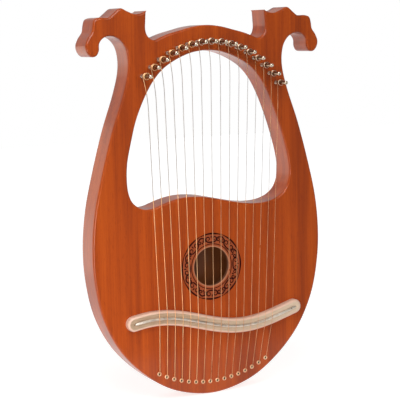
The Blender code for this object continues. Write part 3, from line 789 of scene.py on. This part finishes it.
BRIDGE_FRONT = FRONT - 6.8 * MM
ROD_Y = BRIDGE_FRONT - 0.3 * MM
ROD_RADIUS = 1.4 * MM
GROOVE_RADIUS = 1.55 * MM
HALF_WIDTH = 7.8 * MM
ROUND = 2.5 * MM
CROWN = 0.1 * MM
profile = [(d, ROD_Y + np.sqrt(GROOVE_RADIUS**2 - d**2)) for d in np.linspace(0, 1.5, 7) * MM]
profile += [(1.7 * MM, BRIDGE_FRONT + CROWN / 2), (2.0 * MM, BRIDGE_FRONT)]
profile += [(HALF_WIDTH - ROUND, BRIDGE_FRONT + CROWN)]
for a in np.radians(np.linspace(10, 90, 9)):
    depth = BRIDGE_FRONT + CROWN + ROUND * (1 - np.cos(a))
    profile.append((HALF_WIDTH - ROUND * (1 - np.sin(a)), depth))
profile += [(HALF_WIDTH, FRONT), (0.0, FRONT)]
rings = [(round_wave(d), y) for d, y in profile]
points = [np.stack([r[:, 0], np.full(len(r), y), r[:, 1]], -1) for r, y in rings]
bridge_parts = [(np.concatenate(points), grid_faces(len(rings), len(rings[0][0]), True))]
bridge = new_piece("wavy_bridge", bridge_parts, pale_wood, replaced=["bridge"])
places = vertex_places(bridge)
line_x = np.linspace(LEFT_END, RIGHT_END, 400)
line = np.stack([line_x, wave_height(line_x)], -1)
reach = np.min(np.linalg.norm(places[:, None, ::2] - line[None], axis=2), axis=1)
# This marks the rounding of the rim, which the material paints paler as a painted sheen.
give_values(bridge, "rim", np.clip((reach - HALF_WIDTH + ROUND) / (0.5 * MM), 0, 1))

rod_x = np.linspace(LEFT_END, RIGHT_END, 97)
rod_path = np.stack([rod_x, np.full(97, ROD_Y), wave_height(rod_x)], -1)
rod_radius = np.full(97, ROD_RADIUS)
rod_radius[[0, -1]] *= 0.5
rod_radius[[1, -2]] *= 0.92
new_piece(
    "saddle_rod_wire", [tube(rod_path, rod_radius, 20)], nickel_silver,
    replaced=["saddle_rod"],
)

# %% [markdown]
# ## Eyelets
#
# Each string hole is lined with a pressed brass eyelet: a thin barrel whose lip is rolled over
# the front face. It is a turned shape, so one profile of radii and depths is spun round the
# hole's axis. One mesh function makes all sixteen.

# %% Sixteen eyelets
def turned(centre, radii, depths, sides):
    """A closed turned shape round an axis along Y, whose profile ends where it begins."""
    angle = 2 * np.pi * np.arange(sides) / sides
    radii, depths = np.array(radii)[:, None], np.array(depths)[:, None]
    x = centre[0] + radii * np.cos(angle)
    z = centre[1] + radii * np.sin(angle)
    points = np.stack([x, np.broadcast_to(depths, x.shape), z], -1)
    return points.reshape(-1, 3), grid_faces(len(radii), sides, True)


BORE_RADIUS, BARREL_RADIUS, LIP_RADIUS = 0.95 * MM, 1.5 * MM, 2.4 * MM
BARREL_END = FRONT + 3.6 * MM
lip = np.radians(np.linspace(0, 180, 9))
rolled = (LIP_RADIUS + BORE_RADIUS) / 2 - (LIP_RADIUS - BORE_RADIUS) / 2 * np.cos(lip)
rise = FRONT - 0.2 * MM - 0.6 * MM * np.sin(lip)
rise[-1] = FRONT
radii = [BORE_RADIUS, BORE_RADIUS, *rolled, BARREL_RADIUS, BARREL_RADIUS, BORE_RADIUS]
depths = [BARREL_END, FRONT - 0.1 * MM, *rise, FRONT + 0.05 * MM, BARREL_END, BARREL_END]
for i in range(COUNT):
    eyelet = new_piece(
        f"brass_eyelet_{i + 1:02d}", [turned(eyelets[i], radii, depths, 28)],
        eyelet_brass, replaced=[f"eyelet_{i + 1:02d}"],
    )
    places = vertex_places(eyelet)
    from_axis = np.linalg.norm(places[:, ::2] - eyelets[i], axis=1)
    # The bore is painted dark: painted shade inside the hole.
    in_bore = (from_axis < BORE_RADIUS + 0.05 * MM) & (places[:, 1] > FRONT - 0.15 * MM)
    give_values(eyelet, "deep", in_bore)

# %% [markdown]
# ## Tuning pins and their coils
#
# A tuning pin is a steel pin, lightly threaded where it enters the wood, round in the middle, and
# ground square at its end for the key, with the lathe's centre mark in its face. Its section is
# a superellipse, which goes from a circle to a square as one power grows. The wire goes
# round the pin in loose turns and ends in the hole through it.

# %% Pins
PIN_INNER = -6.3 * MM
PIN_TIP = FRONT - 22 * MM
PIN_RADIUS = 2.1 * MM
SQUARE_RADIUS = 1.98 * MM
THREAD_END = FRONT - 4.4 * MM
THREAD_DEPTH, THREAD_PITCH = 0.22 * MM, 0.8 * MM
PIN_SIDES = 40
# the key end, back from the tip: (distance from the tip, radius, power), both lengths in mm
KEY_END = (
    (1.25, 1.98, 2.6), (1.15, 1.98, 2.6), (0.72, 1.91, 2.4), (0.38, 1.73, 2.2),
    (0.14, 1.44, 2.0), (0.02, 1.08, 2.0), (0.0, 0.8, 2.0), (0.06, 0.66, 2.0), (0.9, 0.0, 2.0),
)


def pin_surface(centre):
    """Rings of r(a) = half / (|cos a|^n + |sin a|^n)^(1/n), with a fine thread near the wood."""
    start = ((PIN_INNER, 0.0), (PIN_INNER, 1.6 * MM), (PIN_INNER - 0.5 * MM, 2.05 * MM))
    thread_steps = np.linspace(FRONT + 2 * MM, THREAD_END, 65)
    shaft = (FRONT - 5 * MM, FRONT - 15.2 * MM, FRONT - 16 * MM)
    rings = [(y, half, 2.0) for y, half in start]
    rings += [(y, PIN_RADIUS, 2.0) for y in (*thread_steps, *shaft)]
    rings += [(FRONT - 16.5 * MM, SQUARE_RADIUS, 2.6)]
    rings += [(PIN_TIP + back * MM, half * MM, power) for back, half, power in KEY_END]
    y, half, power = (np.array(values)[:, None] for values in zip(*rings))
    angle = 2 * np.pi * np.arange(PIN_SIDES) / PIN_SIDES
    spread = (np.abs(np.cos(angle)) ** power + np.abs(np.sin(angle)) ** power) ** (1 / power)
    threaded = (y < FRONT + 2.01 * MM) & (y > THREAD_END - 0.05 * MM)
    thread = THREAD_DEPTH * (0.5 - 0.5 * np.cos(angle + 2 * np.pi * y / THREAD_PITCH))
    reach = half / spread - np.where(threaded, thread, 0)
    x = centre[0] + reach * np.cos(angle)
    z = centre[1] + reach * np.sin(angle)
    points = np.stack([x, np.broadcast_to(y, x.shape), z], -1)
    return points.reshape(-1, 3), grid_faces(len(rings), PIN_SIDES, True)


for i in range(COUNT):
    pin = new_piece(
        f"plated_pin_{i + 1:02d}", [pin_surface(pins[i])], nickel_plate,
        body=f"pin_{i + 1:02d}", replaced=[f"tuning_pin_{i + 1:02d}"],
    )
    depth = vertex_places(pin)[:, 1]
    # The round shaft between thread and key end is painted darker: painted shade.
    give_values(pin, "shaft", (depth < THREAD_END - 0.3 * MM) & (depth > PIN_TIP + 1.2 * MM))

# %% [markdown]
# ## The strings
#
# A string starts at its ball end in the back board, comes forward through its eyelet, turns up
# over the rod, and runs to its pin. A thick wire keeps some of its curl there, so it meets the
# pin in a slight bend. It ends in part of a turn behind the coil; the coil itself belongs to the
# pin, and turns with it in tuning. The bass strings are wound with bronze and the others are plain
# steel. Where a string has the open window behind it, its wire is painted greyer, a painted
# reflection of the white backdrop, and inside its eyelet's bore it is painted dark, as painted
# shade.

# %% Coils and strings
CLEARANCE = 0.8 * MM
TURN_GAP = 0.3 * MM
TURNS = 2.6
BEND_BELOW_PIN = 22 * MM
ROD_SPACING = 9.1 * MM
ROD_SHIFT = 1.1 * MM
WOUND = 6
BACKDROP_REFLECTION_SHARE = 0.85
FADE = 5 * MM
# how far right and up the camera sees the body behind a string, at its front and at its back
BEHIND = np.array([(5, -1), (20, -5)]) * MM
WIRE_SIDES = 12
# the ball end, from the back: (depth, radius), both in mm
BALL_END = (
    (0.4, 0.9), (0.55, 1.4), (1.0, 1.8), (1.6, 1.9), (2.3, 1.9), (2.9, 1.7), (3.4, 1.2), (3.7, 0.7),
)
ball_depth, ball_radius = np.array(BALL_END).T * MM
bend_across = np.linspace(1.7, -3.2, COUNT) * MM


def around(centre, radius, degrees, y):
    """Points beside a pin: 0 degrees is its left side, and the angle grows over its top."""
    angle = np.radians(degrees)
    x = centre[0] - radius * np.cos(angle)
    z = centre[1] + radius * np.sin(angle)
    return np.stack([x, np.broadcast_to(y, x.shape), z], -1)


def rounded(corners, radii, steps):
    """A polyline whose inner corners are replaced with short Bezier arcs."""
    corners = np.asarray(corners)
    t = np.linspace(0, 1, steps)[:, None]
    pieces = [corners[:1]]
    for before, corner, after, r in zip(corners, corners[1:], corners[2:], radii):
        a = corner + (before - corner) / np.linalg.norm(before - corner) * r
        b = corner + (after - corner) / np.linalg.norm(after - corner) * r
        pieces.append((1 - t) ** 2 * a + 2 * t * (1 - t) * corner + t**2 * b)
    return np.concatenate([*pieces, corners[-1:]])


def clear_stretch(path):
    """The lowest and the highest place on a rising path that has the open window behind it."""
    z = np.arange(window[:, 1].min(), window[:, 1].max(), 0.5 * MM)
    spots = np.stack([np.interp(z, path[:, 2], path[:, 0]), z], -1)
    clear = np.all([inside(spots + shift, [window]) for shift in BEHIND], axis=0)
    return z[clear][[0, -1]]


for i in range(COUNT):
    r = string_radius[i]
    wire, coil_metal = (wound_wire, wound_wire) if i < WOUND else (steel_wire, polished_steel)
    y = ROD_Y - ROD_RADIUS - 0.15 * MM - r
    coil_radius = PIN_RADIUS + CLEARANCE + r
    pitch = 2 * r + TURN_GAP
    degrees = np.linspace(0, TURNS * 360, 109)
    coil = around(pins[i], coil_radius, degrees, y - pitch - pitch * degrees / 360)
    centre = np.array([pins[i][0], coil[-1, 1], pins[i][1]])
    inward = np.linspace(1, 0, 9)[1:, None]
    hook_degrees = degrees[-1] + 60 * (1 - inward[:, 0])
    hook = around(pins[i], coil_radius, hook_degrees, coil[-1, 1])
    hook = centre + (hook - centre) * (0.3 + 0.7 * inward)
    new_piece(
        f"coil_{i + 1:02d}", [tube(np.concatenate([coil, hook]), r, WIRE_SIDES)], coil_metal,
        body=f"pin_{i + 1:02d}",
    )
    over_rod = ROD_SHIFT + from_middle[i] * ROD_SPACING
    crossing = np.array([over_rod, y, wave_height(over_rod)])
    mouth = np.array([eyelets[i][0], FRONT - 1.1 * MM - r, eyelets[i][1]])
    bend = np.array([pins[i][0] + bend_across[i], y, pins[i][1] - BEND_BELOW_PIN])
    towards = pins[i] - bend[[0, 2]]
    lean = np.arctan2(towards[1], towards[0]) + np.arcsin(coil_radius / np.linalg.norm(towards))
    tangent = 90 - np.degrees(lean)
    wrap = around(pins[i], coil_radius, tangent + np.linspace(0, 240, 33), y)
    steps = len(ball_depth)
    ball = np.stack([np.full(steps, mouth[0]), -ball_depth, np.full(steps, mouth[2])], -1)
    route = [ball[-1] - (0, 0.6 * MM, 0), mouth, crossing, bend, wrap[0]]
    body = rounded(route, (1.4 * MM, 1.0 * MM, 14 * MM), 9)
    foot, crown = clear_stretch(body)
    rings = np.sort([foot, foot + FADE, crown - FADE, crown])
    extra = np.stack([np.interp(rings, body[:, 2], axis) for axis in body.T], -1)
    body = np.insert(body, np.searchsorted(body[:, 2], rings), extra, axis=0)
    path = np.concatenate([ball, body, wrap[1:]])
    radii = np.concatenate([ball_radius, np.full(len(path) - steps, r)])
    string = new_piece(
        f"wire_{i + 1:02d}", [tube(path, radii, WIRE_SIDES)], wire,
        replaced=[f"string_{i + 1:02d}"],
    )
    places = vertex_places(string)
    height = places[:, 2]
    # Greyer where the open window is behind the string: painted reflection of the white backdrop.
    free = np.minimum(height - foot, crown - height) / FADE
    from_axis = np.linalg.norm(places[:, ::2] - eyelets[i], axis=1)
    give_values(string, "free", np.clip(free, 0, 1) * BACKDROP_REFLECTION_SHARE)
    # Dark inside the eyelet's bore: painted shade.
    give_values(string, "deep", from_axis < BORE_RADIUS + 0.05 * MM)

# %% [markdown]
# ## Floor, light and camera
#
# The harp stands before a bright white backdrop, in a room that is darker behind the camera, so
# the front keeps its deep colour, the metal has something dark to reflect, and the side walls,
# which mirror the backdrop at a glancing angle, go pale. What is above the horizon is dimmer, so
# that faces turned upwards keep their colour. A large soft lamp on the left and one in front
# light the wood, a small one lifts the lower left, and a warm card stands behind on the left.
#
# The camera doesn't see the room but a white backdrop. The floor is matt paper that glows a
# little, more so further out, so that it runs into the backdrop without an edge. In front of the
# harp only the camera sees all of that glow, or the foot would mirror it as a haze.
# The camera looks from the left and a little from above.

# %% Studio
ROOM_BRIGHTNESS = 0.26
BACKDROP_BRIGHTNESS = 1.05
UPPER_SHARE = 0.55
GLOW_IN_FRONT = 0.6
world = bpy.data.worlds.new("photo_studio")
world.use_nodes = True
tree = world.node_tree
room = tree.nodes["Background"]
direction = add_node(tree, "ShaderNodeTexCoord").outputs["Generated"]
backwards, upwards = (along_axis(tree, direction, axis) for axis in "YZ")
sweep = mapped_range(
    tree, backwards, (-0.35, 0.45), (ROOM_BRIGHTNESS, BACKDROP_BRIGHTNESS), smooth=True,
)
fade = mapped_range(tree, upwards, (-0.06, 0.06), (1.0, UPPER_SHARE), smooth=True)
brightness = add_node(
    tree, "ShaderNodeMath", {"operation": "MULTIPLY"}, {0: sweep, 1: fade},
).outputs["Value"]
tree.links.new(brightness, room.inputs["Strength"])
backdrop = add_node(tree, "ShaderNodeBackground")
seen = add_node(tree, "ShaderNodeLightPath").outputs["Is Camera Ray"]
either = add_node(
    tree, "ShaderNodeMixShader", None,
    {0: seen, 1: room.outputs[0], 2: backdrop.outputs[0]},
)
tree.links.new(either.outputs[0], tree.nodes["World Output"].inputs["Surface"])
for lit in (room, backdrop):
    lit.inputs["Color"].default_value = linear("#FFFFFF")
bpy.context.scene.world = world
bpy.context.scene.view_settings.view_transform = "Standard"

floor_material, tree, shader = new_material("matt_white_paper")
place = add_node(tree, "ShaderNodeTexCoord").outputs["Object"]
fibres = add_node(
    tree, "ShaderNodeTexNoise", None, {"Vector": place, "Scale": 1 / (4 * MM), "Detail": 2.0},
).outputs["Fac"]
paper = add_node(
    tree, "ShaderNodeValToRGB", None, {"Fac": fibres}, ((0.3, "#BCBCBB"), (0.7, "#C0C0BF")),
).outputs["Color"]
tree.links.new(paper, shader.inputs["Base Color"])
shader.inputs["Roughness"].default_value = 0.9
shader.inputs["Emission Color"].default_value = linear("#FFFFFF")
apart = add_node(tree, "ShaderNodeVectorMath", {"operation": "LENGTH"}, {0: place}).outputs["Value"]
glow = mapped_range(tree, apart, (0.2, 1.2), (0.74, 0.87), smooth=True)
behind = mapped_range(tree, along_axis(tree, place, "Y"), (-0.05, 0.0), (GLOW_IN_FRONT, 1.0))
seen = add_node(tree, "ShaderNodeLightPath").outputs["Is Camera Ray"]
shown = add_node(tree, "ShaderNodeMath", {"operation": "MAXIMUM"}, {0: behind, 1: seen})
both = {0: glow, 1: shown.outputs["Value"]}
strength = add_node(tree, "ShaderNodeMath", {"operation": "MULTIPLY"}, both)
tree.links.new(strength.outputs["Value"], shader.inputs["Emission Strength"])
FLOOR = -ORIGIN_HEIGHT - 0.2 * MM
SIDE, NEAR, FAR = 3.0, -0.2, 3.0
floor_mesh = bpy.data.meshes.new("studio_floor")
corners = [(-SIDE, NEAR, FLOOR), (SIDE, NEAR, FLOOR), (SIDE, FAR, FLOOR), (-SIDE, FAR, FLOOR)]
floor_mesh.from_pydata(corners, [], [(0, 1, 2, 3)])
floor_mesh.materials.append(floor_material)
floor = bpy.data.objects.new("studio_floor", floor_mesh)
bpy.context.scene.collection.objects.link(floor)


def soft_lamp(name, place, target, size, watts, colour, spread):
    """A square lamp that faces a point."""
    data = bpy.data.lights.new(name, "AREA")
    data.size = size
    data.energy = watts
    data.color = linear(colour)[:3]
    data.spread = np.radians(spread)
    lamp = bpy.data.objects.new(name, data)
    lamp.location = place
    lamp.rotation_mode = "QUATERNION"
    lamp.rotation_quaternion = (Vector(target) - Vector(place)).to_track_quat("-Z", "Y")
    bpy.context.scene.collection.objects.link(lamp)


soft_lamp("upper_softbox", (-0.3, -0.5, 0.64), (-0.03, -0.03, 0.16), 0.5, 4.0, "#FFFFFF", 180)
soft_lamp("lower_softbox", (-0.4, -0.55, -0.04), (-0.06, -0.03, -0.04), 0.35, 0.35, "#FFF8F0", 60)
soft_lamp("side_card", (-0.38, 0.5, 0.05), (-0.1, 0.0, 0.08), 0.5, 0.6, "#FFD8BC", 180)
soft_lamp("front_softbox", (0.2, -1.5, 0.9), (0.0, -0.03, 0.25), 0.7, 5.0, "#FFF8F0", 180)

# %% Camera
CAMERA_PLACE = (-0.6314, -1.2004, 0.2665)
SENSOR_WIDTH_MM, FOCAL_LENGTH_MM = 36, 114.2
azimuth, elevation, roll = np.radians([-27.85, 7.47, -1.12])
back = np.array([
    np.sin(azimuth) * np.cos(elevation), -np.cos(azimuth) * np.cos(elevation), np.sin(elevation),
])
right = np.array([np.cos(azimuth), np.sin(azimuth), 0])
up = np.cross(back, right)
rolled_right = np.cos(roll) * right + np.sin(roll) * up
rolled_up = -np.sin(roll) * right + np.cos(roll) * up
camera_data = bpy.data.cameras.new("camera")
camera_data.sensor_width = SENSOR_WIDTH_MM
camera_data.lens = FOCAL_LENGTH_MM
camera = bpy.data.objects.new("camera", camera_data)
columns = Matrix((rolled_right, rolled_up, back)).transposed().to_4x4()
camera.matrix_world = Matrix.Translation(CAMERA_PLACE) @ columns
bpy.context.scene.collection.objects.link(camera)
bpy.context.scene.camera = camera
